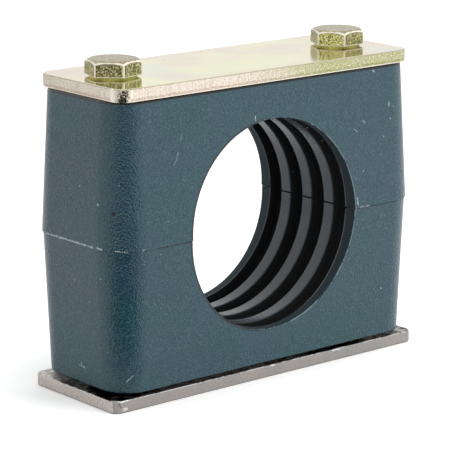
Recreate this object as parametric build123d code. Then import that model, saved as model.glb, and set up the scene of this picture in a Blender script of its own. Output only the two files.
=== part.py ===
from build123d import *
from math import cos, radians, tan
import os

# A two-bolt block clamp for one pipe, on a flat plate that is welded down.
# Millimetres. X runs along the bolt line, Y along the pipe, Z up.
# The origin is the middle of the weld plate's underside.

# Pipe bore, and the walls that the clamp half keeps round it
bore_radius = 24.0
bore_roof = 8.35
bore_to_bolt = 9.0
bolt_to_end = 11.7
split_width = 33.0
lower_draft_angle = 2.4
upper_draft_angle = 3.1
corner_radius = 8.4
outer_edge_chamfer = 0.6
split_edge_chamfer = 0.15
upper_half_excess = 0.4

# Ribs inside the bore
groove_count = 4
rib_width = 3.3
groove_width = 4.2
groove_depth = 2.6
groove_draft = 6.0
bore_edge_chamfer = 0.35
rib_end_relief = 0.2
relief_reach = 1.0

# Both plates stand back from the long sides of the halves
plate_side_setback = 1.5

# Weld plate with two collars drawn up out of it
weld_plate_overhang = 0.1
weld_plate_thickness = 2.8
weld_corner_radius = 2.4
weld_edge_roll = 0.35
collar_height = 5.0
collar_radius = 6.0
collar_taper = 3.0
collar_root = 0.8
collar_lead = 0.4
collar_mouth = 1.2

# Cover plate
cover_end_setback = 2.0
cover_plate_thickness = 3.0
cover_corner_radius = 3.5
cover_edge_roll = 0.45
cover_edge_break = 0.15

# Hexagon bolts, a quarter of an inch
shank_radius = 3.175
thread_radius = 3.0
thread_length = 19.05
tip_height = 1.4
tip_chamfer = 0.8
hex_across_flats = 11.1
head_height = 4.0
washer_face_height = 0.4
washer_face_share = 0.95
crown_angle = 30.0
left_hex_turn = 14.0
right_hex_turn = 4.0

# Clearances
plate_gap = 0.75
bolt_hole_clearance = 0.325
thread_clearance = 0.05
pocket_clearance = 0.4
hole_edge_break = 0.3

# Worked out from the sizes above
bolt_x = bore_radius + bore_to_bolt
half_height = bore_radius + bore_roof
split_length = 2 * (bolt_x + bolt_to_end)
plate_width = split_width - 2 * plate_side_setback
weld_plate_length = split_length + 2 * weld_plate_overhang
cover_plate_length = split_length - 2 * cover_end_setback
bolt_hole_radius = shank_radius + bolt_hole_clearance
tapped_radius = thread_radius + thread_clearance
pocket_radius = collar_radius + pocket_clearance
pocket_depth = collar_height - plate_gap
lower_outer_z = weld_plate_thickness + plate_gap
split_z = lower_outer_z + half_height
cover_z = split_z + half_height
head_z = cover_z + cover_plate_thickness
bolt_length = head_z - tip_height
hex_corner_radius = hex_across_flats / 2 / cos(radians(30))


def bolt_places():
    """The two bolt axes."""
    return Locations((-bolt_x, 0, 0), (bolt_x, 0, 0))


def upright(radius, height, z=0.0):
    """A round bar or hole along Z that starts at z."""
    base = (Align.CENTER, Align.CENTER, Align.MIN)
    return Pos(0, 0, z) * Cylinder(radius, height, align=base)


def top_edges(solid):
    """The edges that lie flat round the top of a solid."""
    return solid.edges().group_by(Axis.Z)[-1]


def bottom_edges(solid):
    """The edges that lie flat round the bottom of a solid."""
    return solid.edges().group_by(Axis.Z)[0]


def half_block(length, width, draft):
    """The drafted outside of one half, its split face on z = 0."""
    block = extrude(RectangleRounded(length, width, corner_radius), half_height, taper=draft)
    block = chamfer(top_edges(block), outer_edge_chamfer)
    return chamfer(bottom_edges(block), split_edge_chamfer)


def groove_ring(y):
    """One groove of the bore, turned about the pipe's axis."""
    mouth = groove_width / 2
    floor = mouth - groove_depth * tan(radians(groove_draft))
    inside = bore_radius - groove_depth
    outside = bore_radius + groove_depth
    profile = Polygon(
        (y - mouth, inside),
        (y + mouth, inside),
        (y + mouth, bore_radius),
        (y + floor, outside),
        (y - floor, outside),
        (y - mouth, bore_radius),
        align=None,
    )
    return revolve(Plane.YZ * profile, Axis.Y)


def bore_grooves():
    """The grooves that leave the ribs standing, evenly along the bore."""
    step = groove_width + rib_width
    first = -step * (groove_count - 1) / 2
    return [groove_ring(first + step * number) for number in range(groove_count)]


def bolt_passage():
    """Bolt hole, and the pocket in the outer face that seats over a collar."""
    hole = upright(bolt_hole_radius, half_height)
    pocket = upright(pocket_radius, pocket_depth, half_height - pocket_depth)
    entry = Cone(
        bolt_hole_radius + hole_edge_break,
        bolt_hole_radius,
        hole_edge_break,
        align=(Align.CENTER, Align.CENTER, Align.MIN),
    )
    return hole + pocket + entry


def clamp_half(draft, excess=0.0):
    """One moulded half, split face down, with its ribbed share of the bore."""
    length = split_length + excess
    width = split_width + excess
    half = half_block(length, width, draft)
    relief_span = 2 * (bore_radius + relief_reach)
    half -= Box(relief_span, 2 * width, 2 * rib_end_relief)
    half -= Rot(X=90) * Cylinder(bore_radius, 2 * width)
    bore_wall = half.faces().filter_by(GeomType.CYLINDER).sort_by(SortBy.AREA)[-1]
    rims = bore_wall.edges().filter_by(GeomType.LINE, reverse=True)
    half = chamfer(rims, bore_edge_chamfer)
    half -= bore_grooves()
    return half - bolt_places() * bolt_passage()


def upper_clamp_half():
    return Pos(0, 0, split_z) * clamp_half(upper_draft_angle, upper_half_excess)


def lower_clamp_half():
    return Pos(0, 0, split_z) * Rot(X=180) * clamp_half(lower_draft_angle)


def collar():
    """A collar drawn up from the plate, seen as a turned ring on z = 0."""
    top = weld_plate_thickness + collar_height
    lean = collar_height * tan(radians(collar_taper))
    root = weld_plate_thickness + collar_root
    wall = Polyline(
        (0, 0),
        (collar_radius + collar_root, 0),
        (collar_radius + collar_root, weld_plate_thickness),
        (collar_radius, root),
        (collar_radius - lean, top - collar_lead),
        (collar_radius - lean - collar_lead, top),
        (0, top),
        close=True,
    )
    return revolve(Plane.XZ * make_face(wall), Axis.Z)


def collar_hole():
    """The tapped hole, with the open mouth that drawing leaves below."""
    top = weld_plate_thickness + collar_height
    wall = Polyline(
        (0, 0),
        (tapped_radius + collar_mouth, 0),
        (tapped_radius, collar_mouth),
        (tapped_radius, top - collar_lead),
        (tapped_radius + collar_lead, top),
        (0, top),
        close=True,
    )
    return revolve(Plane.XZ * make_face(wall), Axis.Z)


def weld_plate():
    """The plate that is welded down, its collars standing in the lower half."""
    plate = extrude(
        RectangleRounded(weld_plate_length, plate_width, weld_corner_radius), weld_plate_thickness
    )
    plate = chamfer(bottom_edges(plate), weld_edge_roll)
    plate += bolt_places() * collar()
    return plate - bolt_places() * collar_hole()


def cover_plate():
    """The flat top plate that spreads the bolts' pull."""
    plate = extrude(
        RectangleRounded(cover_plate_length, plate_width, cover_corner_radius), cover_plate_thickness
    )
    plate = fillet(top_edges(plate), cover_edge_roll)
    plate = chamfer(bottom_edges(plate), cover_edge_break)
    plate -= bolt_places() * upright(bolt_hole_radius, cover_plate_thickness)
    return Pos(0, 0, cover_z) * plate


def bolt_head(turn):
    """Hexagon with a turned crown, on its round washer face, from z = 0 up."""
    flats = hex_across_flats / 2
    hexagon = Pos(0, 0, washer_face_height) * extrude(
        RegularPolygon(hex_corner_radius, 6, rotation=turn), head_height - washer_face_height
    )
    crown_radius = flats * washer_face_share
    crown_drop = (hex_corner_radius - crown_radius) * tan(radians(crown_angle))
    crown = Polygon(
        (0, 0),
        (hex_corner_radius, 0),
        (hex_corner_radius, head_height - crown_drop),
        (crown_radius, head_height),
        (0, head_height),
        align=None,
    )
    hexagon &= revolve(Plane.XZ * crown, Axis.Z)
    return hexagon + upright(flats * washer_face_share, washer_face_height)


def bolt(x, turn):
    """Hexagon bolt with its thread as a plain bar, its tip in the collar."""
    plain_length = bolt_length - thread_length
    shank = upright(shank_radius, plain_length, -plain_length)
    thread = upright(thread_radius, thread_length, -bolt_length)
    thread = chamfer(bottom_edges(thread), tip_chamfer)
    return Pos(x, 0, head_z) * (bolt_head(turn) + shank + thread)


def main():
    parts = {
        "weld_plate": weld_plate(),
        "lower_clamp_half": lower_clamp_half(),
        "upper_clamp_half": upper_clamp_half(),
        "cover_plate": cover_plate(),
        "left_bolt": bolt(-bolt_x, left_hex_turn),
        "right_bolt": bolt(bolt_x, right_hex_turn),
    }
    os.makedirs("parts", exist_ok=True)
    for node, shape in parts.items():
        export_step(shape, f"parts/{node}.step")
        print(node, round(shape.volume), "mm3")


main()
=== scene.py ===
# Looks of a two-bolt block pipe clamp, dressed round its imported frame
import bpy
from math import cos, pi, radians, sin, tan
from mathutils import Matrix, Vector


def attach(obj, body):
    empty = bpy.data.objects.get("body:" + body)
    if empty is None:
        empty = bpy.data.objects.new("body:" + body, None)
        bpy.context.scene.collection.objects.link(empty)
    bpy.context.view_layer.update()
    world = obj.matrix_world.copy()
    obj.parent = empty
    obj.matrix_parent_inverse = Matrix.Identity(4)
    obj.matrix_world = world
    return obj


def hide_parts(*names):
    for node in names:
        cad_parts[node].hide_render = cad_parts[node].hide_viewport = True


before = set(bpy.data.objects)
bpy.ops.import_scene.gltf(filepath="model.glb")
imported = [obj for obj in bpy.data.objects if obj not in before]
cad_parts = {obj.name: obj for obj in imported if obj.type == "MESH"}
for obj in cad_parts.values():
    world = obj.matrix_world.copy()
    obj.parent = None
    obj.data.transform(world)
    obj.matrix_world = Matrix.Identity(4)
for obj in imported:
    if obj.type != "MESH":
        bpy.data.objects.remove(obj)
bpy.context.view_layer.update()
mm = 0.001
print("frame loaded")


# Small helpers

def deselectAll():
    if bpy.context.object and bpy.context.object.mode != "OBJECT":
        bpy.ops.object.mode_set(mode="OBJECT")
    bpy.ops.object.select_all(action="DESELECT")


def makeActive(piece):
    deselectAll()
    piece.select_set(True)
    bpy.context.view_layer.objects.active = piece


def editMode(piece):
    makeActive(piece)
    bpy.ops.object.mode_set(mode="EDIT")


def objectMode():
    bpy.ops.object.mode_set(mode="OBJECT")


def selectAll():
    bpy.ops.mesh.select_all(action="SELECT")


def selectEdges(piece, test):
    # test gets both ends of an edge
    objectMode()
    for face in piece.data.polygons:
        face.select = False
    for vertex in piece.data.vertices:
        vertex.select = False
    points = [vertex.co for vertex in piece.data.vertices]
    for edge in piece.data.edges:
        edge.select = test(points[edge.vertices[0]], points[edge.vertices[1]])
    bpy.ops.object.mode_set(mode="EDIT")
    bpy.ops.mesh.select_mode(type="EDGE")


def applyModifier(piece, name):
    makeActive(piece)
    bpy.ops.object.modifier_apply(modifier=name)


def applyPlace(piece):
    makeActive(piece)
    bpy.ops.object.transform_apply(location=True, rotation=True, scale=True)


def cut(piece, tool, operation):
    modifier = piece.modifiers.new("Cut", "BOOLEAN")
    modifier.operation = operation
    modifier.object = tool
    modifier.solver = "EXACT"
    applyModifier(piece, modifier.name)
    bpy.data.objects.remove(tool)


def mendSkin(piece):
    # merges what the cuts left lying together, and joins flat faces that they split
    together = 0.004 * mm
    editMode(piece)
    selectAll()
    bpy.ops.mesh.remove_doubles(threshold=together)
    bpy.ops.mesh.dissolve_degenerate(threshold=together)
    bpy.ops.mesh.dissolve_limited(angle_limit=radians(0.1))
    objectMode()


def smoothOff(piece, angle=32):
    # smooth shading that keeps flat faces flat
    makeActive(piece)
    bpy.ops.object.shade_smooth_by_angle(angle=radians(angle))
    weights = piece.modifiers.new("Normals", "WEIGHTED_NORMAL")
    weights.keep_sharp = True
    weights.weight = 80
    applyModifier(piece, weights.name)


def wear(piece, material):
    piece.data.materials.clear()
    piece.data.materials.append(material)


# Shader helpers

def addNode(tree, kind, settings=None, values=None):
    node = tree.nodes.new(kind)
    for key, value in (settings or {}).items():
        setattr(node, key, value)
    for key, value in (values or {}).items():
        if isinstance(value, bpy.types.NodeSocket):
            tree.links.new(value, node.inputs[key])
        else:
            node.inputs[key].default_value = value
    return node


def newMaterial(name):
    material = bpy.data.materials.new(name)
    material.use_nodes = True
    tree = material.node_tree
    tree.nodes.clear()
    return material, tree


def newGroup(name, places, numbers, results):
    # places and numbers go in, numbers come out
    group = bpy.data.node_groups.new(name, "ShaderNodeTree")
    for label in places:
        group.interface.new_socket(label, in_out="INPUT", socket_type="NodeSocketVector")
    for label in numbers:
        group.interface.new_socket(label, in_out="INPUT", socket_type="NodeSocketFloat")
    for label in results:
        group.interface.new_socket(label, in_out="OUTPUT", socket_type="NodeSocketFloat")
    return group, addNode(group, "NodeGroupInput").outputs, addNode(group, "NodeGroupOutput").inputs


def useGroup(tree, group, values):
    return addNode(tree, "ShaderNodeGroup", {"node_tree": group}, values).outputs


def maths(tree, operation, first, second=0.0):
    return addNode(tree, "ShaderNodeMath", {"operation": operation}, {0: first, 1: second}).outputs[0]


def times(tree, total, *factors):
    for factor in factors:
        total = maths(tree, "MULTIPLY", total, factor)
    return total


def less(tree, mask, share=1.0):
    # 1 where mask is 0, and lower by share where it is 1
    return maths(tree, "SUBTRACT", 1.0, times(tree, mask, share))


def vectors(tree, operation, first, second=(0.0, 0.0, 0.0)):
    node = addNode(tree, "ShaderNodeVectorMath", {"operation": operation}, {0: first, 1: second})
    return node.outputs["Value" if operation in ("LENGTH", "DOT_PRODUCT") else "Vector"]


def scaled(tree, vector, scale):
    node = addNode(tree, "ShaderNodeVectorMath", {"operation": "SCALE"}, {0: vector, "Scale": scale})
    return node.outputs[0]


def levelLength(tree, vector):
    # its length seen from above
    return vectors(tree, "LENGTH", vectors(tree, "MULTIPLY", vector, (1.0, 1.0, 0.0)))


def parts(tree, place):
    return addNode(tree, "ShaderNodeSeparateXYZ", {}, {0: place}).outputs


def step(tree, value, low, high):
    # 0 at low, 1 at high, smooth between; low may be the larger
    node = addNode(tree, "ShaderNodeMapRange", {"interpolation_type": "SMOOTHSTEP"},
                   {"Value": value, "From Min": low, "From Max": high})
    return node.outputs[0]


def between(tree, share, first, second):
    # first where share is 0, second where it is 1
    node = addNode(tree, "ShaderNodeMapRange", {}, {"Value": share, "To Min": first, "To Max": second})
    return node.outputs[0]


def tint(tree, colour, tone, mask, share=1.0):
    # lays a tone over the colour where mask is 1
    if share < 1.0:
        mask = times(tree, mask, share)
    node = addNode(tree, "ShaderNodeMix", {"data_type": "RGBA"}, {"Factor": mask, "A": colour, "B": tone})
    return node.outputs["Result"]


def millimetres(tree):
    # object coordinates in millimetres, where the piece really is
    return scaled(tree, addNode(tree, "ShaderNodeTexCoord").outputs["Object"], 1 / mm)


def noise(tree, place, scale, detail=2.0, roughness=0.5):
    node = addNode(tree, "ShaderNodeTexNoise", {},
                   {"Vector": place, "Scale": scale, "Detail": detail, "Roughness": roughness})
    return node.outputs[0]


def bumped(tree, height, depth):
    # the normal over a height of 0 to 1 that stands for depth in mm
    node = addNode(tree, "ShaderNodeBump", {}, {"Strength": 1.0, "Distance": depth * mm, "Height": height})
    return node.outputs[0]


def surface(tree, values):
    shader = addNode(tree, "ShaderNodeBsdfPrincipled", {}, values)
    addNode(tree, "ShaderNodeOutputMaterial", {}, {"Surface": shader.outputs[0]})


def rgb(red, green, blue):
    # screen colour to the linear one a shader takes
    values = [channel / 255 for channel in (red, green, blue)]
    return (*[v / 12.92 if v <= 0.04045 else ((v + 0.055) / 1.055) ** 2.4 for v in values], 1.0)


# Effects that more than one finish uses

def makeSpecks():
    # small sparse spots: a share of the cells holds one
    group, given, put = newGroup("Sparse specks", ["Place"], ["Cells per mm", "Share", "Spot"], ["Mask"])
    cells = addNode(group, "ShaderNodeTexVoronoi", {"feature": "F1"},
                    {"Vector": given["Place"], "Scale": given["Cells per mm"]}).outputs
    chosen = addNode(group, "ShaderNodeSeparateColor", {}, {0: cells["Color"]}).outputs
    lucky = maths(group, "LESS_THAN", chosen[0], given["Share"])
    near = maths(group, "LESS_THAN", cells["Distance"], times(group, given["Spot"], chosen[1]))
    group.links.new(times(group, lucky, near), put["Mask"])
    return group


def makeMottle():
    # a soft drift between two tones, with a finer one over it
    group, given, put = newGroup("Mottle", ["Place"], ["Drift per mm", "Grain per mm", "Grain share"],
                                 ["Tone", "Grain"])
    drift = noise(group, given["Place"], given["Drift per mm"], detail=3.0, roughness=0.55)
    grain = noise(group, given["Place"], given["Grain per mm"], roughness=0.6)
    shared = times(group, maths(group, "SUBTRACT", grain, 0.5), given["Grain share"])
    group.links.new(maths(group, "ADD", step(group, drift, 0.3, 0.7), shared), put["Tone"])
    group.links.new(grain, put["Grain"])
    return group


def makeBrokenLine():
    # Away is the distance from the middle of the line
    group, given, put = newGroup("Broken line", ["Place"], ["Away", "Half width", "Breaks per mm", "Cover"],
                                 ["Mask"])
    ragged = noise(group, given["Place"], given["Breaks per mm"], detail=4.0, roughness=0.75)
    drift = noise(group, given["Place"], 0.11, detail=1.0)
    here = maths(group, "ADD", times(group, ragged, 0.65), times(group, drift, 0.35))
    inside = maths(group, "LESS_THAN", given["Away"], times(group, given["Half width"], ragged, 2.0))
    whole = maths(group, "GREATER_THAN", given["Cover"], here)
    group.links.new(times(group, inside, whole), put["Mask"])
    return group


def makeMark():
    # one scratch or spot: near the line between two places, its edge wandering
    group, given, put = newGroup("Mark", ["Place", "From", "To"], ["Half width", "Share"], ["Mask"])
    run = vectors(group, "SUBTRACT", given["To"], given["From"])
    wobble = noise(group, given["Place"], 1.7, detail=3.0, roughness=0.7).node.outputs["Color"]
    place = vectors(group, "ADD", given["Place"], vectors(group, "SUBTRACT", wobble, (0.5, 0.5, 0.5)))
    offset = vectors(group, "SUBTRACT", place, given["From"])
    along = maths(group, "DIVIDE", vectors(group, "DOT_PRODUCT", offset, run),
                  vectors(group, "DOT_PRODUCT", run, run))
    along.node.use_clamp = True
    away = vectors(group, "LENGTH", vectors(group, "SUBTRACT", offset, scaled(group, run, along)))
    outside = step(group, away, times(group, given["Half width"], 0.5), given["Half width"])
    group.links.new(times(group, less(group, outside), given["Share"]), put["Mask"])
    return group


specks = makeSpecks()
mottle = makeMottle()
brokenLine = makeBrokenLine()
mark = makeMark()


def allMarks(tree, place, marks):
    # the strongest of a list of marks: (from, to, half width, share)
    total = 0.0
    for start, end, halfWidth, share in marks:
        values = {"Place": place, "From": start, "To": end, "Half width": halfWidth, "Share": share}
        total = maths(tree, "MAXIMUM", useGroup(tree, mark, values)["Mask"], total)
    return total


def startFinish(name, finish, first, second):
    # a material with a ground of two tones
    material, tree = newMaterial(name)
    place = millimetres(tree)
    tones = useGroup(tree, mottle, {"Place": place, **finish["mottle"]})
    ground = tint(tree, finish[first], finish[second], tones["Tone"])
    return material, tree, place, tones, ground


# Moulded plastic of the two halves
plastic = {
    "slate": rgb(39, 67, 82),
    "teal": rgb(25, 70, 78),
    "grainLight": rgb(74, 106, 114),
    "grainDark": rgb(12, 38, 46),
    "scuff": rgb(150, 170, 174),
    # painted highlight along the bore's rim
    "rim": rgb(120, 142, 148),
    # crest, land and groove tones: painted sheen and shade inside the bore
    "crest": rgb(52, 58, 66),
    "land": rgb(20, 38, 45),
    "groove": rgb(6, 7, 8),
    # painted shadow in the joints next to the plates
    "joint": rgb(4, 5, 5),
    "dust": rgb(176, 192, 196),
    # pits, and painted shade along the bore's left rim
    "pitAndShade": rgb(8, 12, 16),
    "mottle": {"Drift per mm": 0.06, "Grain per mm": 2.6, "Grain share": 0.5},
    "dustSpecks": {"Cells per mm": 0.45, "Share": 0.12, "Spot": 0.09},
    "pitSpecks": {"Cells per mm": 0.16, "Share": 0.06, "Spot": 0.05},
    "scuffLine": {"Half width": 0.2, "Breaks per mm": 1.1, "Cover": 0.44},
    "rimHighlightLine": {"Half width": 0.14, "Breaks per mm": 0.7, "Cover": 0.52},
    "rough": 0.14,
    "grooveRough": 0.9,
    "specular": 0.56,
    "pebblesPerMm": 2.8,
    "pebbleDepth": 0.135,
    "splitHeight": 35.9,
    "boreRadius": 24.0,
    "grooveReach": 13.4,
    "grooveDepth": 2.9,
    "rimOutside": 0.25,
    # how much of each shows
    "shares": {"grain": 0.6, "crest": 0.8, "dust": 0.7, "seam": 0.7, "scuff": 0.5, "rim": 0.6, "shade": 0.75,
               "dullLand": 0.8, "smoothBore": 0.7},
    # where a mask is 0 and where it is 1: mm, or values of the noise
    "edges": {
        "lightGrain": (0.5, 0.75),
        "darkGrain": (0.5, 0.25),
        "bore": (0.25, 0.1),
        "land": (13.4, 13.6),
        "groove": (0.05, 0.3),
        "aroundBore": (0.6, 0.3),
        "inBody": (15.0, 14.0),
        "topJointShadow": (67.6, 67.75),
        "bottomJointShadow": (3.95, 3.75),
        "seam": (0.2, 0.1),
        "seamAlong": (-36.0, -31.0),
        "shade": (0.5, 0.32),
        "shadeAlong": (2.0, -6.0),
    },
    # from, to, half width, share
    "lightMarks": [
        ((-44.8, 9.6, 36.15), (-44.9, -5.2, 36.15), 0.26, 0.8),
        ((-44.9, -5.9, 36.1), (-44.9, -7.8, 36.1), 0.32, 0.6),
        ((-44.8, -9.1, 36.3), (-44.6, -10.4, 36.1), 0.28, 0.8),
        ((-43.1, -13.5, 36.1), (-41.2, -15.0, 35.9), 0.26, 0.8),
        ((-38.0, -16.4, 36.1), (-37.6, -16.4, 36.1), 0.3, 0.4),
        ((24.7, -16.5, 38.6), (25.1, -16.5, 36.1), 0.3, 0.55),
        ((25.7, -16.6, 36.1), (28.4, -16.6, 36.1), 0.2, 0.6),
        ((-44.3, -8.9, 45.8), (-44.3, -9.0, 45.7), 0.3, 0.7),
        ((-5.3, -15.4, 61.2), (-5.3, -15.4, 60.1), 0.16, 0.8),
        ((26.8, -15.6, 56.4), (27.7, -15.6, 55.5), 0.18, 0.5),
        ((24.2, -15.7, 54.6), (25.3, -15.7, 53.8), 0.18, 0.4),
        ((30.5, -15.0, 67.4), (30.8, -15.0, 67.2), 0.28, 0.5),
        ((35.4, -15.4, 59.5), (35.5, -15.5, 58.4), 0.22, 0.5),
        ((35.7, -15.6, 55.6), (35.8, -15.6, 55.5), 0.28, 0.5),
        ((36.8, -15.5, 58.5), (36.9, -15.5, 58.4), 0.25, 0.4),
        ((-43.5, -0.4, 7.9), (-43.5, -2.4, 7.7), 0.2, 0.6),
        ((-43.5, -1.1, 8.6), (-43.5, -1.3, 7.5), 0.2, 0.4),
        ((-40.7, -13.7, 6.5), (-39.6, -14.5, 7.7), 0.18, 0.7),
        ((-26.1, -15.4, 60.0), (-26.7, -15.5, 58.4), 0.14, 0.3),
        ((-27.4, -15.6, 56.2), (-28.6, -15.8, 53.4), 0.14, 0.3),
    ],
    "darkMarks": [
        ((-43.0, -12.8, 44.3), (-43.0, -12.9, 44.0), 0.5, 1.0),
        ((-32.2, -15.5, 58.8), (-32.2, -15.5, 58.7), 0.3, 0.6),
        ((5.9, -15.4, 8.3), (6.0, -15.4, 8.1), 0.34, 0.7),
    ],
}


def makePlastic():
    material, tree, place, tones, colour = startFinish("Blue-grey moulded plastic", plastic, "slate", "teal")
    x, y, z = parts(tree, place)
    edges, shares = plastic["edges"], plastic["shares"]
    light, dark = (step(tree, tones["Grain"], *edges[name]) for name in ("lightGrain", "darkGrain"))
    colour = tint(tree, colour, plastic["grainLight"], light, shares["grain"])
    colour = tint(tree, colour, plastic["grainDark"], dark, shares["grain"])

    # inside the bore: grey crests are painted sheen and shade, dark end lands and black grooves are painted
    # shade
    aboveSplit = maths(tree, "SUBTRACT", z, plastic["splitHeight"])
    fromAxis = addNode(tree, "ShaderNodeCombineXYZ", {}, {"X": x, "Z": aboveSplit}).outputs[0]
    fromBore = maths(tree, "SUBTRACT", vectors(tree, "LENGTH", fromAxis), plastic["boreRadius"])
    acrossBore = maths(tree, "ABSOLUTE", y)
    onBore = step(tree, fromBore, *edges["bore"])
    colour = tint(tree, colour, plastic["crest"], onBore, shares["crest"])
    onLand = times(tree, onBore, step(tree, acrossBore, *edges["land"]))
    colour = tint(tree, colour, plastic["land"], onLand)
    inGroove = times(tree, step(tree, fromBore, *edges["groove"]),
                     maths(tree, "LESS_THAN", acrossBore, plastic["grooveReach"]),
                     maths(tree, "LESS_THAN", fromBore, plastic["grooveDepth"]))
    colour = tint(tree, colour, plastic["groove"], inGroove)

    # painted shadow in the joints under the cover plate and over the weld plate
    top, bottom = (step(tree, z, *edges[name]) for name in ("topJointShadow", "bottomJointShadow"))
    colour = tint(tree, colour, plastic["joint"], maths(tree, "MAXIMUM", top, bottom))

    # dust, pits, a dark seam and scuffs along the split, a painted highlight line along the bore's rim,
    # painted shade by its left side, and single marks
    dust = useGroup(tree, specks, {"Place": place, **plastic["dustSpecks"]})
    colour = tint(tree, colour, plastic["dust"], dust["Mask"], shares["dust"])
    pits = useGroup(tree, specks, {"Place": place, **plastic["pitSpecks"]})
    colour = tint(tree, colour, plastic["pitAndShade"], pits["Mask"])
    inBore = maths(tree, "MAXIMUM", step(tree, fromBore, *edges["aroundBore"]), inGroove)
    fromSplit = maths(tree, "ADD", maths(tree, "ABSOLUTE", aboveSplit), inBore)
    seam = times(tree, step(tree, fromSplit, *edges["seam"]), step(tree, x, *edges["seamAlong"]))
    colour = tint(tree, colour, plastic["pitAndShade"], seam, shares["seam"])
    scuffs = useGroup(tree, brokenLine, {"Place": place, "Away": fromSplit, **plastic["scuffLine"]})
    colour = tint(tree, colour, plastic["scuff"], scuffs["Mask"], shares["scuff"])
    # painted highlight line along the bore's rim
    fromRim = maths(tree, "ABSOLUTE", maths(tree, "SUBTRACT", fromBore, plastic["rimOutside"]))
    fromRim = maths(tree, "ADD", fromRim, step(tree, acrossBore, *edges["inBody"]))
    rim = useGroup(tree, brokenLine, {"Place": place, "Away": fromRim, **plastic["rimHighlightLine"]})
    colour = tint(tree, colour, plastic["rim"], rim["Mask"], shares["rim"])
    # painted shade along the bore's rim on its left side
    shade = times(tree, step(tree, fromRim, *edges["shade"]), step(tree, x, *edges["shadeAlong"]))
    colour = tint(tree, colour, plastic["pitAndShade"], shade, shares["shade"])
    colour = tint(tree, colour, plastic["dust"], allMarks(tree, place, plastic["lightMarks"]))
    colour = tint(tree, colour, plastic["pitAndShade"], allMarks(tree, place, plastic["darkMarks"]))

    deep = maths(tree, "MAXIMUM", inGroove, times(tree, onLand, shares["dullLand"]))
    pebbles = noise(tree, place, plastic["pebblesPerMm"], detail=0.0)
    pebbles = times(tree, pebbles, less(tree, onBore, shares["smoothBore"]))
    surface(tree, {"Base Color": colour,
                   "Roughness": between(tree, deep, plastic["rough"], plastic["grooveRough"]),
                   "Specular IOR Level": plastic["specular"],
                   "Normal": bumped(tree, pebbles, plastic["pebbleDepth"])})
    return material


# Bright yellow-passivated zinc of the cover plate
coverZinc = {
    "gold": rgb(230, 230, 182),
    "pink": rgb(220, 200, 184),
    "cool": rgb(210, 220, 204),
    "seam": rgb(176, 166, 146),
    "sheared": rgb(230, 216, 204),
    "shearedGreen": rgb(176, 176, 126),
    "torn": rgb(204, 178, 166),
    "tornGreen": rgb(150, 152, 92),
    # painted highlight along the lower edge of the side
    "foot": rgb(240, 234, 216),
    "fleck": rgb(250, 248, 232),
    "mottle": {"Drift per mm": 0.045, "Grain per mm": 1.3, "Grain share": 0.25},
    "coolPerMm": 0.06,
    "flecksPerMm": 2.6,
    "lumpsPerMm": 2.2,
    "streaksPerMm": (2.2, 2.2, 0.35),
    "wander": 14.0,
    "raggedness": 0.7,
    "patchWander": 0.5,
    # tone, middle, reach, share
    "patches": [
        ("gold", (-2.0, -7.0, 71.0), (26.0, 9.0, 10.0), 0.8),
        ("pink", (-23.0, -9.0, 71.0), (8.0, 8.0, 10.0), 0.6),
        ("pink", (-8.0, 13.5, 71.0), (26.0, 4.0, 10.0), 0.5),
    ],
    "shares": {"cool": 0.6, "backEnd": 0.6, "streak": 0.45, "fleck": 0.65, "darkFleck": 0.4, "seam": 0.8,
               "dull": 0.55},
    "edges": {
        "cool": (0.52, 0.68),
        "patch": (1.3, 0.6),
        "greener": (-14.0, 18.0),
        "greenerBack": (-2.0, 16.0),
        "endFace": (-38.0, -40.0),
        "torn": (69.2, 68.95),
        "streak": (0.46, 0.68),
        "fleck": (0.53, 0.64),
        "darkFleck": (0.45, 0.38),
        "foot": (68.58, 68.46),
        "seam": (70.93, 71.05),
        "top": (71.13, 71.21),
        "pastCorner": (4.0, 5.0),
    },
    "rough": 0.13,
    "bump": 0.3,
    "sideShare": 0.3,
    "topShare": 0.02,
    "brightCorner": (-39.2, -11.5, 70.0),
    # painted highlights at the near corner
    "lightMarks": [
        ((-42.6, -12.2, 70.6), (-42.6, -12.2, 69.0), 0.9, 0.8),
        ((-41.6, -14.0, 68.9), (-39.8, -15.0, 68.9), 0.3, 0.9),
        ((-39.4, -15.0, 70.6), (-39.4, -15.0, 69.4), 0.35, 0.8),
    ],
    "darkMarks": [((-11.7, 9.0, 71.2), (-11.7, 9.1, 71.2), 0.4, 0.9)],
}


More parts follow.
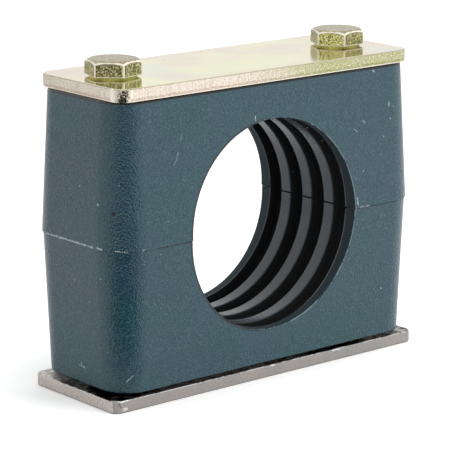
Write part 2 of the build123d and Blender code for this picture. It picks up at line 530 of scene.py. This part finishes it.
def makeCoverZinc():
    material, tree, place, tones, top = startFinish("Bright yellow zinc", coverZinc, "pink", "gold")
    x, y, z = parts(tree, place)
    edges, shares = coverZinc["edges"], coverZinc["shares"]
    cooler = noise(tree, place, coverZinc["coolPerMm"], detail=1.0, roughness=0.4)
    top = tint(tree, top, coverZinc["cool"], step(tree, cooler, *edges["cool"]), shares["cool"])
    patchWander = times(tree, tones["Tone"], coverZinc["patchWander"])
    for tone, middle, reach, share in coverZinc["patches"]:
        away = vectors(tree, "DIVIDE", vectors(tree, "SUBTRACT", place, middle), reach)
        away = maths(tree, "ADD", vectors(tree, "LENGTH", away), patchWander)
        top = tint(tree, top, coverZinc[tone], step(tree, away, *edges["patch"]), share)

    # the sheared side: bright band, torn band below it, and more green towards +X
    wander = times(tree, maths(tree, "SUBTRACT", tones["Tone"], 0.5), coverZinc["wander"])
    greener = step(tree, maths(tree, "ADD", x, wander), *edges["greener"])
    backEnd = times(tree, step(tree, maths(tree, "ADD", y, wander), *edges["greenerBack"]),
                    step(tree, x, *edges["endFace"]))
    greener = maths(tree, "MAXIMUM", greener, times(tree, backEnd, shares["backEnd"]))
    sheared = tint(tree, coverZinc["sheared"], coverZinc["shearedGreen"], greener)
    torn = tint(tree, coverZinc["torn"], coverZinc["tornGreen"], greener)
    ragged = times(tree, maths(tree, "SUBTRACT", tones["Grain"], 0.5), coverZinc["raggedness"])
    side = tint(tree, sheared, torn, step(tree, maths(tree, "ADD", z, ragged), *edges["torn"]))
    streaks = vectors(tree, "MULTIPLY", place, coverZinc["streaksPerMm"])
    streaks = step(tree, noise(tree, streaks, 1.0, roughness=0.6), *edges["streak"])
    side = tint(tree, side, coverZinc["seam"], streaks, shares["streak"])
    speckle = noise(tree, place, coverZinc["flecksPerMm"], roughness=0.6)
    flecks, darkFlecks = (step(tree, speckle, *edges[name]) for name in ("fleck", "darkFleck"))
    side = tint(tree, side, coverZinc["fleck"], flecks, shares["fleck"])
    side = tint(tree, side, coverZinc["tornGreen"], darkFlecks, shares["darkFleck"])
    # painted highlight along the lower edge of the side
    side = tint(tree, side, coverZinc["foot"], step(tree, z, *edges["foot"]))
    side = tint(tree, side, coverZinc["seam"], step(tree, z, *edges["seam"]), shares["seam"])
    onTop = step(tree, z, *edges["top"])
    colour = tint(tree, side, top, onTop)
    # painted highlights at the near corner, in the fleck tone
    colour = tint(tree, colour, coverZinc["fleck"], allMarks(tree, place, coverZinc["lightMarks"]))
    colour = tint(tree, colour, coverZinc["tornGreen"], allMarks(tree, place, coverZinc["darkMarks"]))

    # almost a mirror on top; the side is lumpy, and half dull away from its bright corner
    lumps = noise(tree, place, coverZinc["lumpsPerMm"], roughness=0.6)
    lumps = times(tree, lumps, between(tree, onTop, coverZinc["sideShare"], coverZinc["topShare"]))
    fromCorner = levelLength(tree, vectors(tree, "SUBTRACT", place, coverZinc["brightCorner"]))
    dull = maths(tree, "MAXIMUM", step(tree, fromCorner, *edges["pastCorner"]), flecks)
    dull = times(tree, dull, less(tree, onTop))
    surface(tree, {"Base Color": colour, "Metallic": less(tree, dull, shares["dull"]),
                   "Roughness": coverZinc["rough"], "Normal": bumped(tree, lumps, coverZinc["bump"])})
    return material


# Dull yellow zinc of the bolts, rubbed bright along the edges of the head: wear with a painted highlight
boltZinc = {
    "tan": rgb(188, 174, 140),
    "olive": rgb(176, 178, 98),
    "pinkish": rgb(168, 156, 130),
    "dark": rgb(54, 52, 28),
    "stain": rgb(96, 92, 48),
    "fresh": rgb(236, 238, 150),
    "cream": rgb(240, 232, 206),
    "washer": rgb(206, 204, 122),
    "wearAndHighlight": rgb(250, 242, 226),
    "mottle": {"Drift per mm": 0.35, "Grain per mm": 2.8, "Grain share": 1.4},
    "spotsPerMm": 2.9,
    # the dark patch on the near head's front is painted reflection
    # tone, middle, reach, share
    "patches": [("stain", (-38.2, -4.6, 72.6), 3.6, 0.6), ("fresh", (28.4, -3.1, 73.0), 3.3, 0.6)],
    "patchEdge": 0.5,
    "shares": {"dark": 0.85, "cream": 0.6, "crown": 0.6, "washer": 0.7, "dullWearAndHighlight": 0.6},
    "edges": {
        "dark": (0.51, 0.55),
        "cream": (0.46, 0.42),
        "crown": (74.2, 74.7),
        "washer": (71.7, 71.62),
        "wearAndHighlight": (0.25, 0.42),
    },
    "rough": 0.24,
    "washerRough": 0.6,
    "bump": 0.2,
}


def makeBoltZinc():
    material, tree, place, tones, colour = startFinish("Dull yellow zinc", boltZinc, "olive", "tan")
    z = parts(tree, place)[2]
    edges, shares = boltZinc["edges"], boltZinc["shares"]
    # patches; the dark one on the near head is painted reflection
    for tone, middle, reach, share in boltZinc["patches"]:
        away = vectors(tree, "LENGTH", vectors(tree, "SUBTRACT", place, middle))
        near = step(tree, away, reach, reach - boltZinc["patchEdge"])
        colour = tint(tree, colour, boltZinc[tone], near, share)
    spots = noise(tree, place, boltZinc["spotsPerMm"], roughness=0.75)
    for tone in ("dark", "cream"):
        colour = tint(tree, colour, boltZinc[tone], step(tree, spots, *edges[tone]), shares[tone])
    onCrown, onWasher = (step(tree, z, *edges[name]) for name in ("crown", "washer"))
    colour = tint(tree, colour, boltZinc["pinkish"], onCrown, shares["crown"])
    colour = tint(tree, colour, boltZinc["washer"], onWasher, shares["washer"])
    # edges of the head: rubbed wear and a painted highlight, kept less metallic so they show bright
    wearAndHighlight = addNode(tree, "ShaderNodeAttribute", {"attribute_name": "wearAndHighlightEdge"}).outputs["Fac"]
    wearAndHighlight = times(tree, wearAndHighlight, step(tree, tones["Grain"], *edges["wearAndHighlight"]))
    colour = tint(tree, colour, boltZinc["wearAndHighlight"], wearAndHighlight)
    surface(tree, {"Base Color": colour, "Metallic": less(tree, wearAndHighlight, shares["dullWearAndHighlight"]),
                   "Roughness": between(tree, onWasher, boltZinc["rough"], boltZinc["washerRough"]),
                   "Normal": bumped(tree, tones["Grain"], boltZinc["bump"])})
    return material


# Plain steel of the weld plate
weldSteel = {
    "warm": rgb(170, 162, 158),
    "cool": rgb(158, 158, 156),
    "shade": rgb(111, 106, 102),
    # the plate's ends are painted lighter: painted light
    "end": rgb(224, 216, 210),
    # tone of the painted highlights on the burr and the glints
    "burrHighlight": rgb(248, 246, 242),
    # painted shade along the bottom edge where the plate sits on the floor, and a dark notch
    "darkEdge": rgb(120, 108, 104),
    # painted shadow on top round the lower half's foot
    "footShadow": rgb(20, 16, 15),
    "mottle": {"Drift per mm": 0.12, "Grain per mm": 2.8, "Grain share": 0.8},
    "burrHighlightLine": {"Half width": 0.14, "Breaks per mm": 0.5, "Cover": 0.5},
    "burrHeight": 2.7,
    # the lower half's foot: half sizes to the middle of its round corners
    "foot": (36.34, 8.14, 0.0),
    "shares": {"end": 0.8, "shade": 0.42, "darkEdge": 0.6, "burrHighlight": 0.5, "dullMark": 0.9, "dull": 0.5},
    "edges": {
        "end": (44.6, 44.7),
        "shade": (0.5, 0.66),
        "darkEdge": (0.22, 0.1),
        "footShadow": (10.2, 9.4),
        "top": (2.7, 2.78),
        "front": (10.0, 4.0),
    },
    "rough": 0.38,
    "bump": 0.08,
    # painted highlights on the burr at the near corner, and painted glints
    "lightMarks": [
        ((-44.4, -13.3, 2.8), (-43.9, -14.3, 2.75), 0.24, 0.9),
        ((-43.9, -14.3, 2.75), (-42.9, -14.9, 2.7), 0.3, 1.0),
        ((-42.9, -14.9, 2.7), (-40.6, -15.0, 2.7), 0.24, 0.9),
        ((-42.4, -15.0, 0.8), (-41.7, -15.0, 0.9), 0.45, 0.6),
        ((-0.6, -15.0, 2.55), (1.2, -15.0, 2.55), 0.18, 0.9),
        ((18.9, -15.0, 2.5), (21.2, -15.0, 2.5), 0.18, 0.9),
    ],
    # a dark notch, and painted shade along the left end's bottom edge
    "darkMarks": [
        ((-43.5, -14.5, 2.2), (-43.2, -14.7, 1.5), 0.5, 0.75),
        ((-44.8, 13.0, 0.15), (-44.8, -13.0, 0.15), 0.15, 0.5),
    ],
}


def makeWeldSteel():
    material, tree, place, tones, colour = startFinish("Plain satin steel", weldSteel, "warm", "cool")
    x, y, z = parts(tree, place)
    edges, shares = weldSteel["edges"], weldSteel["shares"]
    # ends painted lighter as painted light, darker grain, and a darker bottom edge that is painted shade
    for tone, value in (("end", maths(tree, "ABSOLUTE", x)), ("shade", tones["Grain"]), ("darkEdge", z)):
        colour = tint(tree, colour, weldSteel[tone], step(tree, value, *edges[tone]), shares[tone])

    # painted shadow on top round the lower half's foot, gone towards +Y
    corner = vectors(tree, "SUBTRACT", vectors(tree, "ABSOLUTE", place), weldSteel["foot"])
    fromFoot = levelLength(tree, vectors(tree, "MAXIMUM", corner))
    footShadowMask = times(tree, step(tree, fromFoot, *edges["footShadow"]), step(tree, z, *edges["top"]),
                  step(tree, y, *edges["front"]))
    colour = tint(tree, colour, weldSteel["footShadow"], footShadowMask)

    # painted highlight along the burr at the top edge
    fromEdge = maths(tree, "ABSOLUTE", maths(tree, "SUBTRACT", z, weldSteel["burrHeight"]))
    burrHighlight = useGroup(tree, brokenLine, {"Place": place, "Away": fromEdge, **weldSteel["burrHighlightLine"]})
    colour = tint(tree, colour, weldSteel["burrHighlight"], burrHighlight["Mask"], shares["burrHighlight"])
    # painted highlights and glints from the light marks, kept dull so they show white
    bright = allMarks(tree, place, weldSteel["lightMarks"])
    colour = tint(tree, colour, weldSteel["burrHighlight"], bright)
    # a dark notch, and painted shade along the left end's bottom edge
    colour = tint(tree, colour, weldSteel["darkEdge"], allMarks(tree, place, weldSteel["darkMarks"]))
    dull = times(tree, less(tree, footShadowMask), shares["dull"])
    dull = maths(tree, "MAXIMUM", times(tree, bright, shares["dullMark"]), dull)
    surface(tree, {"Base Color": colour, "Metallic": less(tree, dull), "Roughness": weldSteel["rough"],
                   "Normal": bumped(tree, tones["Grain"], weldSteel["bump"])})
    return material


plasticMaterial = makePlastic()
coverMaterial = makeCoverZinc()
boltMaterial = makeBoltZinc()
steelMaterial = makeWeldSteel()
print("finishes made")


def newPlane(name, size=mm):
    deselectAll()
    bpy.ops.mesh.primitive_plane_add(size=size)
    bpy.context.object.name = name
    return bpy.context.object


def startMesh(name):
    # one vertex at the origin, to draw a profile from
    piece = newPlane(name)
    editMode(piece)
    bpy.ops.mesh.select_mode(type="VERT")
    selectAll()
    bpy.ops.mesh.merge(type="CENTER")
    return piece


def drawThrough(points):
    # takes that vertex to the first point and extrudes it through the others
    last = Vector((0, 0, 0))
    for number, point in enumerate(points):
        move = {"value": point - last}
        if number:
            bpy.ops.mesh.extrude_region_move(TRANSFORM_OT_translate=move)
        else:
            bpy.ops.transform.translate(**move)
        last = point


def turned(name, profile, rounds=(), axis=(0, 0, 1), steps=48):
    # profile: radius and place along the axis in mm; rounds: (point numbers, reach, segments)
    piece = startMesh(name)
    points = [(Vector((1, 0, 0)) * radius + Vector(axis) * place) * mm for radius, place in profile]
    drawThrough(points)
    for numbers, reach, segments in rounds:
        objectMode()
        corners = [points[number] for number in numbers]
        for edge in piece.data.edges:
            edge.select = False
        for vertex in piece.data.vertices:
            vertex.select = any((vertex.co - corner).length < 0.001 * mm for corner in corners)
        bpy.ops.object.mode_set(mode="EDIT")
        bpy.ops.mesh.bevel(offset=reach * mm, segments=segments, affect="VERTICES")
    selectAll()
    bpy.ops.mesh.spin(steps=steps, angle=2 * pi, center=(0, 0, 0), axis=axis)
    selectAll()
    bpy.ops.mesh.remove_doubles(threshold=0.0005 * mm)
    bpy.ops.mesh.normals_make_consistent(inside=False)
    objectMode()
    return piece


def moved(piece, place=(0, 0, 0), turn=0.0):
    # shifts a finished mesh in mm and turns it about Z in degrees
    piece.location = Vector(place) * mm
    piece.rotation_euler = (0, 0, radians(turn))
    applyPlace(piece)
    return piece


def copied(piece, name):
    twin = piece.copy()
    twin.data = piece.data.copy()
    twin.name = name
    bpy.context.scene.collection.objects.link(twin)
    return twin


def roundedSheet(name, length, width, corner, segments):
    # flat outline with round corners, face up at z = 0
    piece = newPlane(name)
    piece.scale = (length, width, 1)
    applyPlace(piece)
    editMode(piece)
    bpy.ops.mesh.select_mode(type="VERT")
    selectAll()
    bpy.ops.mesh.bevel(offset=corner * mm, segments=segments, affect="VERTICES")
    return piece


def closeBottom():
    # fills the open outline that an inset and lift leave below
    bpy.ops.mesh.select_all(action="DESELECT")
    bpy.ops.mesh.select_mode(type="EDGE")
    bpy.ops.mesh.select_non_manifold()
    bpy.ops.mesh.edge_face_add()
    selectAll()
    bpy.ops.mesh.normals_make_consistent(inside=False)
    objectMode()


def bevelSelected(reach, segments):
    bpy.ops.mesh.bevel(offset=reach * mm, segments=segments, affect="EDGES", loop_slide=False)
    objectMode()


def bevelEdges(piece, test, reach, segments):
    selectEdges(piece, test)
    bevelSelected(reach, segments)


def bevelSharp(piece, angle, test, reach, segments, mask):
    # bevels edges sharper than angle, and marks the new faces in an attribute
    editMode(piece)
    bpy.ops.mesh.select_mode(type="EDGE")
    bpy.ops.mesh.select_all(action="DESELECT")
    bpy.ops.mesh.edges_select_sharp(sharpness=radians(angle))
    objectMode()
    points = [vertex.co for vertex in piece.data.vertices]
    for edge in piece.data.edges:
        edge.select = edge.select and test(points[edge.vertices[0]], points[edge.vertices[1]])
    for part in (*piece.data.vertices, *piece.data.polygons):
        part.select = False
    bpy.ops.object.mode_set(mode="EDIT")
    bevelSelected(reach, segments)
    layer = piece.data.attributes.new(mask, "FLOAT", "FACE")
    for face in piece.data.polygons:
        layer.data[face.index].value = float(face.select and face.area < mm * mm)


def atHeight(height):
    level, nearly = height * mm, 0.002 * mm
    return lambda a, b: abs(a.z - level) < nearly and abs(b.z - level) < nearly


# Clamp halves
split = {"height": 35.9, "boltPlaces": (-33.0, 33.0)}
lowerHalf = {"length": 89.4, "width": 33.0, "draft": 2.4}
upperHalf = {"length": 89.8, "width": 33.4, "draft": 3.1}
half = {
    "height": 32.35,
    "corner": 8.4,
    "cornerSteps": 14,
    "outerRound": 0.7,
    "splitRound": 0.18,
    "bore": 24.0,
    "boreSteps": 160,
    "grooves": (-11.25, -3.75, 3.75, 11.25),
    "grooveMouth": 2.1,
    "grooveFloor": 1.83,
    "grooveDepth": 2.6,
    "crestRound": 0.22,
    "floorRound": 0.5,
    "rimRound": 0.38,
    "relief": 0.2,
    "reliefReach": 25.0,
    "reliefDepth": 13.3,
    "boltHole": 3.5,
    "pocket": 6.4,
    "pocketDepth": 4.25,
    "holeBreak": 0.3,
}


def makeBoreTool():
    reach = 30.0
    bore, depth = half["bore"], half["grooveDepth"]
    profile = [(0, -reach), (bore, -reach)]
    crests, floors = [], []
    for centre in half["grooves"]:
        first = len(profile)
        profile += [(bore, centre - half["grooveMouth"]), (bore + depth, centre - half["grooveFloor"]),
                    (bore + depth, centre + half["grooveFloor"]), (bore, centre + half["grooveMouth"])]
        crests += [first, first + 3]
        floors += [first + 1, first + 2]
    profile += [(bore, reach), (0, reach)]
    rounds = ((floors, half["floorRound"], 3), (crests, half["crestRound"], 3))
    return turned("bore tool", profile, rounds, (0, 1, 0), half["boreSteps"])


def makePassageTool():
    # bolt hole from the outer face at z = 0, and the collar's pocket in the split face
    top = half["height"]
    pocketFloor = top - half["pocketDepth"]
    hole, pocket, bevel = half["boltHole"], half["pocket"], half["holeBreak"]
    profile = [(0, -1), (hole + bevel + 1, -1), (hole, bevel), (hole, pocketFloor), (pocket, pocketFloor),
               (pocket, top + 1), (0, top + 1)]
    return turned("passage tool", profile)


def makeHalf(name, size):
    # split face on z = 0, outer face up
    piece = roundedSheet(name, size["length"], size["width"], half["corner"], half["cornerSteps"])
    selectAll()
    bpy.ops.mesh.inset(thickness=half["height"] * tan(radians(size["draft"])) * mm)
    bpy.ops.transform.translate(value=(0, 0, half["height"] * mm))
    closeBottom()
    bevelEdges(piece, atHeight(half["height"]), half["outerRound"], segments=5)
    bevelEdges(piece, atHeight(0), half["splitRound"], segments=2)

    deselectAll()
    bpy.ops.mesh.primitive_cube_add(size=mm)
    relief = bpy.context.object
    relief.scale = (2 * half["reliefReach"], 2 * half["reliefDepth"], 2 * half["relief"])
    applyPlace(relief)
    cut(piece, relief, "DIFFERENCE")
    cut(piece, makeBoreTool(), "DIFFERENCE")
    mendSkin(piece)

    radius, nearly = half["bore"] * mm, 0.01 * mm
    nearFace = 0.4 * size["width"] * mm

    def onRim(a, b):
        near = all(abs(Vector((p.x, p.z)).length - radius) < nearly for p in (a, b))
        return near and min(abs(a.y), abs(b.y)) > nearFace and a.y * b.y > 0

    bevelEdges(piece, onRim, half["rimRound"], segments=3)
    tool = makePassageTool()
    for place in split["boltPlaces"]:
        cut(piece, moved(copied(tool, "passage"), (place, 0, 0)), "DIFFERENCE")
    bpy.data.objects.remove(tool)
    return piece


upper = moved(makeHalf("upperHalf", upperHalf), (0, 0, split["height"]))
lower = makeHalf("lowerHalf", lowerHalf)
lower.rotation_euler = (pi, 0, 0)
lower.location = (0, 0, split["height"] * mm)
applyPlace(lower)
for piece, body, node in ((upper, "clamp_top", "upper_clamp_half"), (lower, "base", "lower_clamp_half")):
    smoothOff(piece)
    wear(piece, plasticMaterial)
    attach(piece, body)
    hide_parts(node)
    print(piece.name, len(piece.data.polygons), "faces")


# Cover plate, sheared from strip: rolled top edge, smooth band, then a rougher band that leans in
coverPlate = {
    "length": 85.4,
    "width": 30.0,
    "thickness": 3.0,
    "bottom": 68.25,
    "corner": 3.5,
    "topRoll": 0.3,
    "tornHeight": 0.9,
    "tornLean": 0.07,
    "bottomBreak": 0.15,
    "cornerSteps": 10,
    "hole": 3.5,
}


def makeSheared(name, plate, base):
    # built up from the underside: torn band first, then the smooth one
    lean = plate["tornLean"]
    length, width = plate["length"] - 2 * lean, plate["width"] - 2 * lean
    piece = roundedSheet(name, length, width, plate["corner"] - lean, plate["cornerSteps"])
    selectAll()
    bpy.ops.mesh.extrude_region_move(TRANSFORM_OT_translate={"value": (0, 0, plate["tornHeight"] * mm)})
    spread = (plate["length"] / length, plate["width"] / width, 1)
    bpy.ops.transform.resize(value=spread, center_override=(0, 0, 0))
    rest = plate["thickness"] - plate["tornHeight"]
    bpy.ops.mesh.extrude_region_move(TRANSFORM_OT_translate={"value": (0, 0, rest * mm)})
    selectAll()
    bpy.ops.mesh.normals_make_consistent(inside=False)
    objectMode()
    bevelEdges(piece, atHeight(plate["thickness"]), plate["topRoll"], segments=5)
    bevelEdges(piece, atHeight(0), plate["bottomBreak"], segments=2)
    return moved(piece, (0, 0, base))


def makeCoverPlate():
    piece = makeSheared("coverPlate", coverPlate, coverPlate["bottom"])
    top = coverPlate["thickness"] + 1
    tool = turned("plate hole", [(0, -1), (coverPlate["hole"], -1), (coverPlate["hole"], top), (0, top)])
    for place in split["boltPlaces"]:
        cut(piece, moved(copied(tool, "hole"), (place, 0, coverPlate["bottom"])), "DIFFERENCE")
    bpy.data.objects.remove(tool)
    return piece


cover = makeCoverPlate()
smoothOff(cover)
wear(cover, coverMaterial)
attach(cover, "clamp_top")
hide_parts("cover_plate")
print(cover.name, len(cover.data.polygons), "faces")


# Weld plate with its drawn collars; the rolled edge is the lower one
weldPlate = {
    "length": 89.6,
    "width": 30.0,
    "thickness": 2.8,
    "corner": 1.9,
    "topRoll": 0.4,
    "tornHeight": 0.9,
    "tornLean": 0.05,
    "bottomBreak": 0.08,
    "cornerSteps": 10,
    "collar": 6.0,
    "collarHeight": 5.0,
    "collarTaper": 0.262,
    "collarRoot": 0.8,
    "rootRound": 0.5,
    "collarLead": 0.4,
    "leadRound": 0.2,
    "tap": 3.05,
    "mouth": 1.2,
    "mouthRound": 0.8,
}


def makeWeldPlate():
    # made upside down, then turned over
    piece = makeSheared("weldPlate", weldPlate, -weldPlate["thickness"])
    piece.rotation_euler = (pi, 0, 0)
    applyPlace(piece)
    face, collar, tap = weldPlate["thickness"], weldPlate["collar"], weldPlate["tap"]
    top = face + weldPlate["collarHeight"]
    root, lead, mouth = weldPlate["collarRoot"], weldPlate["collarLead"], weldPlate["mouth"]
    upperEnd = collar - weldPlate["collarTaper"]
    wall = [(0, 1), (collar + root, 1), (collar + root, face), (collar, face + root),
            (upperEnd, top - lead), (upperEnd - lead, top), (0, top)]
    rising = turned("collar", wall, (([3], weldPlate["rootRound"], 4), ([4, 5], weldPlate["leadRound"], 3)))
    hole = [(0, -1), (tap + mouth + 1, -1), (tap, mouth), (tap, top - lead), (tap + lead + 1, top + 1),
            (0, top + 1)]
    bored = turned("collar hole", hole, (([2], weldPlate["mouthRound"], 4),))
    for tool, operation in ((rising, "UNION"), (bored, "DIFFERENCE")):
        for place in split["boltPlaces"]:
            cut(piece, moved(copied(tool, "tool"), (place, 0, 0)), operation)
        bpy.data.objects.remove(tool)
    return piece


weld = makeWeldPlate()
smoothOff(weld)
wear(weld, steelMaterial)
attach(weld, "base")
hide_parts("weld_plate")
print(weld.name, len(weld.data.polygons), "faces")


# Hexagon bolts
bolt = {
    "seat": 71.25,
    "acrossFlats": 11.1,
    "headHeight": 4.0,
    "washerHeight": 0.4,
    "washerShare": 0.95,
    "crownLean": 30.0,
    "crownRound": 0.35,
    "crownRise": 0.02,
    "crownRiseReach": 1.6,
    "crownSteps": 96,
    "edgeRound": 0.27,
    "edgeReach": 0.15,
    "shank": 3.175,
    "neckRound": 0.25,
    "shankEndRound": 0.3,
    "thread": 3.0,
    "threadRoot": 2.45,
    "threadLength": 19.05,
    "threadSteps": 32,
    "runOut": 0.6,
    "pitch": 1.27,
    "length": 69.85,
    "tip": 0.8,
    "tipBevel": 0.6,
    "turns": {"leftBolt": 14.0, "rightBolt": 4.0},
}


def makeHead():
    flats, turn = bolt["acrossFlats"] / 2, radians(30)
    corners = flats / cos(turn)
    low, high = bolt["washerHeight"], bolt["headHeight"]
    deselectAll()
    bpy.ops.mesh.primitive_cylinder_add(vertices=6, radius=corners * mm, depth=(high - low) * mm,
                                        location=(0, 0, (high + low) / 2 * mm), rotation=(0, 0, turn))
    head = bpy.context.object
    head.name = "head"
    applyPlace(head)
    ring = flats * bolt["washerShare"]
    drop = (corners + 1 - ring) * tan(radians(bolt["crownLean"]))
    peak = high + bolt["crownRise"]
    crown = [(0, -1), (corners + 1, -1), (corners + 1, high - drop), (ring, high),
             (ring - bolt["crownRiseReach"], peak), (0, peak)]
    cut(head, turned("crown", crown, (([3], bolt["crownRound"], 4),), steps=bolt["crownSteps"]), "INTERSECT")
    return head


def makeThread():
    # a closed ridge that climbs round the core, its foot sunk in it
    pitch, sunk = bolt["pitch"], 0.25
    crest, foot = 0.07 * pitch, 0.47 * pitch
    inner, outer = bolt["threadRoot"] - sunk, bolt["thread"]
    ridge = startMesh("thread")
    corners = [(inner, -foot), (outer, -crest), (outer, crest), (inner, foot)]
    drawThrough([Vector((radius, 0, along)) * mm for radius, along in corners])
    selectAll()
    bpy.ops.mesh.edge_face_add()
    objectMode()
    climb = ridge.modifiers.new("Climb", "SCREW")
    climb.axis = "Z"
    climb.angle = 2 * pi
    climb.screw_offset = pitch * mm
    climb.iterations = int(bolt["threadLength"] / pitch) - 1
    climb.steps = climb.render_steps = bolt["threadSteps"]
    climb.use_normal_calculate = True
    applyModifier(ridge, climb.name)
    return moved(ridge, (0, 0, bolt["tip"] - bolt["length"] + 0.6 * pitch))


def makeBolt():
    ring = bolt["acrossFlats"] / 2 * bolt["washerShare"]
    # the washer face reaches into the head, to join it
    inHead = bolt["washerHeight"] + 0.5
    end, shank, core = -bolt["length"], bolt["shank"], bolt["threadRoot"]
    threadTop = end + bolt["threadLength"]
    profile = [(0, inHead), (ring, inHead), (ring, 0), (shank, 0), (shank, threadTop),
               (core, threadTop - bolt["runOut"]), (core, end + bolt["tip"]),
               (core - bolt["tipBevel"], end), (0, end)]
    stem = turned("stem", profile, (([3], bolt["neckRound"], 3), ([4], bolt["shankEndRound"], 2)))
    cut(stem, makeHead(), "UNION")
    mendSkin(stem)
    outer = (ring + bolt["edgeReach"]) * mm

    def onHead(a, b):
        above = min(a.z, b.z) > (bolt["washerHeight"] - 0.01) * mm
        return above and min(Vector((p.x, p.y)).length for p in (a, b)) > outer

    bevelSharp(stem, 40, onHead, bolt["edgeRound"], 3, "wearAndHighlightEdge")
    thread = makeThread()
    makeActive(stem)
    thread.select_set(True)
    bpy.ops.object.join()
    return moved(stem, (0, 0, bolt["seat"]))


plainBolt = makeBolt()
for name, place, body, node in (
    ("leftBolt", split["boltPlaces"][0], "left_bolt", "left_bolt"),
    ("rightBolt", split["boltPlaces"][1], "right_bolt", "right_bolt"),
):
    piece = moved(copied(plainBolt, name), (place, 0, 0), bolt["turns"][name])
    smoothOff(piece)
    wear(piece, boltMaterial)
    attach(piece, body)
    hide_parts(node)
    print(piece.name, len(piece.data.polygons), "faces")
bpy.data.objects.remove(plainBolt)


# Floor, white surround, soft lamps, and a black flag that only shine sees
studio = {
    "floorSize": 6.0,
    "floorColour": (0.82, 0.82, 0.82, 1.0),
    "floorRough": 0.9,
    "floorGlow": 0.5,
    "mirroredGlow": 0.1,
    "surround": 1.0,
    "ambient": 0.52,
    "aim": (0, 0, 35),
    "contactShadowReach": 42.0,
}
lamps = {
    "left softbox": {"at": (-560, 470, 330), "size": (520, 620), "power": 1.0},
    "right softbox": {"at": (400, -600, 350), "size": (520, 620), "power": 3.3},
    "top softbox": {"at": (180, -120, 720), "size": (700, 500), "power": 2.9},
}
flag = {
    "pivot": (-38, -9),
    "steps": 16,
    "colour": (0.003, 0.003, 0.003, 1.0),
    # rings on the floor: inner and outer radius, and bearings that turn from -X towards -Y
    "rings": {
        "near": {"bearings": (6.0, 90.0), "from": 23.0, "to": 150.0, "height": 0.4},
        "far": {"bearings": (24.0, 90.0), "from": 150.0, "to": 900.0, "height": 0.4},
        "strip": {"bearings": (4.0, 98.0), "from": 280.0, "to": 308.0, "height": 0.6},
    },
}


def shownRays(tree):
    # 1 for rays that show the picture: camera, glossy and transmission
    rays = addNode(tree, "ShaderNodeLightPath")
    total = maths(tree, "ADD", rays.outputs["Is Camera Ray"], rays.outputs["Is Glossy Ray"])
    return maths(tree, "MINIMUM", maths(tree, "ADD", total, rays.outputs["Is Transmission Ray"]), 1.0)


def makeFloor():
    floor = newPlane("floor", studio["floorSize"])
    material, tree = newMaterial("White floor")
    seen = addNode(tree, "ShaderNodeLightPath").outputs["Is Camera Ray"]
    share = maths(tree, "MAXIMUM", seen, times(tree, shownRays(tree), studio["mirroredGlow"]))
    # the glow fades near the object: a painted contact shadow on the floor
    contactShadow = addNode(tree, "ShaderNodeAmbientOcclusion", {"samples": 16},
                      {"Distance": studio["contactShadowReach"] * mm})
    glow = times(tree, share, studio["floorGlow"], contactShadow.outputs["AO"])
    surface(tree, {"Base Color": studio["floorColour"], "Roughness": studio["floorRough"],
                   "Emission Color": (1.0, 1.0, 1.0, 1.0), "Emission Strength": glow})
    floor.data.materials.append(material)


def makeSurround():
    world = bpy.data.worlds.new("White surround")
    bpy.context.scene.world = world
    world.use_nodes = True
    tree = world.node_tree
    tree.nodes.clear()
    bright = times(tree, shownRays(tree), studio["surround"] - studio["ambient"])
    strength = maths(tree, "ADD", bright, studio["ambient"])
    light = addNode(tree, "ShaderNodeBackground", {}, {"Color": (1.0, 1.0, 1.0, 1.0), "Strength": strength})
    addNode(tree, "ShaderNodeOutputWorld", {}, {"Surface": light.outputs[0]})


def makeLamps():
    target = Vector(studio["aim"]) * mm
    for name, lamp in lamps.items():
        light = bpy.data.lights.new(name, "AREA")
        light.shape = "RECTANGLE"
        light.size, light.size_y = (side * mm for side in lamp["size"])
        light.energy = lamp["power"]
        holder = bpy.data.objects.new(name, light)
        bpy.context.scene.collection.objects.link(holder)
        holder.location = Vector(lamp["at"]) * mm
        holder.rotation_euler = (target - holder.location).to_track_quat("-Z", "Y").to_euler()
        holder.visible_glossy = False


def makeFlag():
    # black card laid round the near corner
    material, tree = newMaterial("Black card")
    surface(tree, {"Base Color": flag["colour"], "Roughness": 1.0, "Specular IOR Level": 0.0})
    for name, ring in flag["rings"].items():
        # spin turns the other way with no window, so it starts at the last bearing
        first, last = (radians(bearing) for bearing in ring["bearings"])
        out = Vector((-cos(last), -sin(last), 0)) * mm
        card = startMesh(name + "Card")
        drawThrough([out * ring["from"], out * ring["to"]])
        selectAll()
        bpy.ops.mesh.spin(steps=flag["steps"], angle=last - first, center=(0, 0, 0), axis=(0, 0, 1))
        objectMode()
        moved(card, (*flag["pivot"], ring["height"]))
        card.data.materials.append(material)
        card.visible_camera = False
        card.visible_diffuse = False
        card.visible_shadow = False
        card.visible_transmission = False


# Camera
shot = {
    "azimuth": -39.98,
    "elevation": 13.54,
    "distance": 550.4,
    "aside": -0.94,
    "height": 32.8,
    "focalPixels": 2393.5,
    "imageWidth": 450,
    "sensor": 36.0,
}


def makeCamera():
    turn, tilt = radians(shot["azimuth"]), radians(shot["elevation"])
    back = Vector((sin(turn) * cos(tilt), -cos(turn) * cos(tilt), sin(tilt)))
    right = Vector((cos(turn), sin(turn), 0))
    lens = bpy.data.cameras.new("camera")
    lens.sensor_width = shot["sensor"]
    lens.lens = shot["focalPixels"] * shot["sensor"] / shot["imageWidth"]
    lens.clip_start = 0.01
    camera = bpy.data.objects.new("camera", lens)
    bpy.context.scene.collection.objects.link(camera)
    camera.location = (back * shot["distance"] + right * shot["aside"] + Vector((0, 0, shot["height"]))) * mm
    camera.rotation_euler = (pi / 2 - tilt, 0, turn)
    bpy.context.scene.camera = camera


makeFloor()
makeSurround()
makeLamps()
makeFlag()
makeCamera()
bpy.context.scene.view_settings.view_transform = "Standard"
print("studio and camera set")
